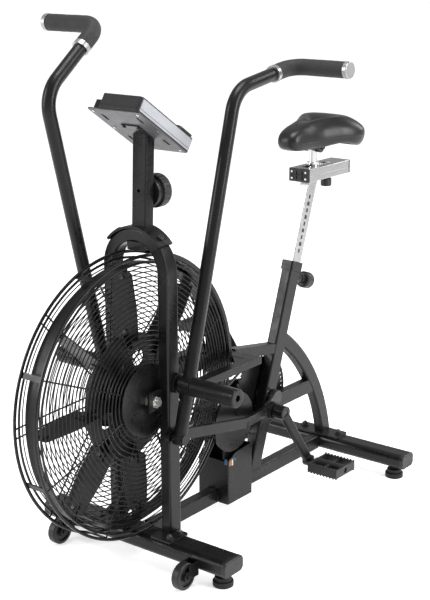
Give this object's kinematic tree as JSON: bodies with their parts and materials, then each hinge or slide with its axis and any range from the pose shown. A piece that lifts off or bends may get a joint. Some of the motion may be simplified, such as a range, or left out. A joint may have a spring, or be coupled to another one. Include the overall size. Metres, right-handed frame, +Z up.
{
  "type": "air bike",
  "caption": "Fan exercise bike: caged fan in an inverted-U frame, swinging handles linked to the crank, console, adjustable seat and saddle.",
  "frame": {"origin": "middle of the bounding box, on the floor", "axes": "+Z up, -Y towards the fan end, +Y towards the saddle, +X to the rider's left"},
  "size_m": [0.6, 1.2407, 1.2914],
  "materials": {
    "black_powder_coat": "satin",
    "cage_wire_black": "satin",
    "fan_black": "matte",
    "brushed_aluminium": "satin",
    "chrome": "polished",
    "zinc_steel": "satin",
    "dark_steel": "satin",
    "black_plastic": "matte",
    "grey_plate": "satin",
    "black_rubber": "matte",
    "grip_foam": "matte",
    "black_vinyl": "gloss",
    "display_glass": "gloss"
  },
  "bodies": {
    "frame": {"base_rail": "black_powder_coat", "bearings": "zinc_steel", "bottom_bracket_shell": "black_powder_coat", "cage_left": "cage_wire_black", "cage_right": "cage_wire_black", "console_bracket": "grey_plate", "console_housing": "black_plastic", "console_screen": "display_glass", "drive_chains": "dark_steel", "drive_cover": "black_powder_coat", "fan_arch": "black_powder_coat", "fan_axle": "zinc_steel", "feet": "black_rubber", "foot_pegs": "black_powder_coat", "frame_bolts": "zinc_steel", "front_stabilizer": "black_powder_coat", "hub_covers": "black_powder_coat", "jackshaft_bracket": "black_powder_coat", "mast": "black_powder_coat", "rear_arc": "black_powder_coat", "rear_shield": "black_powder_coat", "rear_stabilizer": "black_powder_coat", "seat_tube": "black_powder_coat", "side_yoke": "black_powder_coat", "stabilizer_caps": "black_plastic", "upper_tube": "black_powder_coat"},
    "fan": {"fan_hub": "fan_black", "fan_blades": "fan_black", "fan_hoop": "fan_black", "fan_screws": "zinc_steel", "fan_sprocket": "dark_steel"},
    "jackshaft": {"jackshaft": "dark_steel"},
    "crank": {"crankshaft": "dark_steel", "chainring": "black_powder_coat", "crank_arm_left": "black_powder_coat", "crank_arm_right": "black_powder_coat"},
    "left_pedal": {"pedal_left": "black_plastic"},
    "right_pedal": {"pedal_right": "black_plastic"},
    "left_link": {"link_left": "black_powder_coat"},
    "right_link": {"link_right": "black_powder_coat"},
    "left_handle": {"handle_left": "black_powder_coat", "grip_left": "grip_foam", "handle_trim_left": "brushed_aluminium"},
    "right_handle": {"handle_right": "black_powder_coat", "grip_right": "grip_foam", "handle_trim_right": "brushed_aluminium"},
    "seat_post": {"seat_post": "brushed_aluminium", "slider_rail": "brushed_aluminium", "slider_caps": "black_plastic"},
    "seat_carriage": {"seat_carriage": "chrome"},
    "saddle": {"saddle_clamp": "dark_steel", "saddle": "black_vinyl"},
    "pull_pin": {"pull_pin": "black_plastic"},
    "slider_knob": {"slider_knob": "black_plastic"},
    "mast_knob": {"mast_knob": "black_plastic"},
    "left_wheel": {"wheel_left": "black_plastic"},
    "right_wheel": {"wheel_right": "black_plastic"},
    "left_button": {"button_left": "black_rubber"},
    "middle_button": {"button_middle": "black_rubber"},
    "right_button": {"button_right": "black_rubber"}
  },
  "joints": [
    {"name": "crank_turn", "type": "hinge", "parent": "frame", "child": "crank", "pos_m": [0, 0.2705, 0.266], "axis": [1, 0, 0], "continuous": true},
    {"name": "fan_spin", "type": "hinge", "parent": "frame", "child": "fan", "pos_m": [0, -0.2765, 0.422], "axis": [1, 0, 0], "continuous": true},
    {"name": "jackshaft_spin", "type": "hinge", "parent": "frame", "child": "jackshaft", "pos_m": [0, 0.0745, 0.258], "axis": [1, 0, 0], "continuous": true},
    {"name": "left_pedal_spin", "type": "hinge", "parent": "crank", "child": "left_pedal", "pos_m": [0.188, 0.31035, 0.09201], "axis": [1, 0, 0], "continuous": true},
    {"name": "right_pedal_spin", "type": "hinge", "parent": "crank", "child": "right_pedal", "pos_m": [-0.188, 0.23065, 0.44], "axis": [1, 0, 0], "continuous": true},
    {"name": "left_link_turn", "type": "hinge", "parent": "crank", "child": "left_link", "pos_m": [0.05, 0.23573, 0.24298], "axis": [1, 0, 0], "continuous": true},
    {"name": "right_link_turn", "type": "hinge", "parent": "crank", "child": "right_link", "pos_m": [-0.05, 0.30527, 0.28902], "axis": [1, 0, 0], "continuous": true},
    {"name": "left_handle_swing", "type": "hinge", "parent": "frame", "child": "left_handle", "pos_m": [0.132, -0.2185, 0.457], "axis": [-1, 0, 0], "range_deg": [-34.2, 5.2]},
    {"name": "right_handle_swing", "type": "hinge", "parent": "frame", "child": "right_handle", "pos_m": [-0.132, -0.2185, 0.457], "axis": [-1, 0, 0], "range_deg": [-5.2, 34.2]},
    {"name": "seat_height", "type": "slide", "parent": "frame", "child": "seat_post", "axis": [0, 0.3299, 0.944], "range_m": [-0.13, 0.1]},
    {"name": "seat_fore_aft", "type": "slide", "parent": "seat_post", "child": "seat_carriage", "axis": [0, 1, 0], "range_m": [-0.03, 0.04]},
    {"name": "saddle_tilt", "type": "hinge", "parent": "seat_carriage", "child": "saddle", "pos_m": [0, 0.4835, 0.917], "axis": [1, 0, 0], "range_deg": [-12, 12]},
    {"name": "pull_pin_pull", "type": "slide", "parent": "frame", "child": "pull_pin", "axis": [0, 0.944, -0.3299], "range_m": [0, 0.01], "stiffness_N_per_m": 800},
    {"name": "slider_knob_turn", "type": "hinge", "parent": "seat_carriage", "child": "slider_knob", "pos_m": [0, 0.5495, 0.814], "axis": [0, 0, 1], "continuous": true},
    {"name": "mast_knob_turn", "type": "hinge", "parent": "frame", "child": "mast_knob", "pos_m": [0, -0.1785, 0.897], "axis": [0, 1, 0], "continuous": true},
    {"name": "left_wheel_roll", "type": "hinge", "parent": "frame", "child": "left_wheel", "pos_m": [0.2, -0.328, 0.0345], "axis": [1, 0, 0], "continuous": true},
    {"name": "right_wheel_roll", "type": "hinge", "parent": "frame", "child": "right_wheel", "pos_m": [-0.2, -0.328, 0.0345], "axis": [1, 0, 0], "continuous": true},
    {"name": "left_button_press", "type": "slide", "parent": "frame", "child": "left_button", "axis": [0, -0.5548, -0.832], "range_m": [0, 0.002], "stiffness_N_per_m": 400},
    {"name": "middle_button_press", "type": "slide", "parent": "frame", "child": "middle_button", "axis": [0, -0.5548, -0.832], "range_m": [0, 0.002], "stiffness_N_per_m": 400},
    {"name": "right_button_press", "type": "slide", "parent": "frame", "child": "right_button", "axis": [0, -0.5548, -0.832], "range_m": [0, 0.002], "stiffness_N_per_m": 400}
  ],
  "couplings": [
    {"joint": "fan_spin", "follows": "crank_turn", "ratio": 5.5714},
    {"joint": "jackshaft_spin", "follows": "crank_turn", "ratio": 3.25},
    {"joint": "left_link_turn", "follows": "crank_turn", "ratio": -1},
    {"joint": "right_link_turn", "follows": "crank_turn", "ratio": -1},
    {"joint": "right_handle_swing", "follows": "left_handle_swing", "ratio": -1}
  ]
}
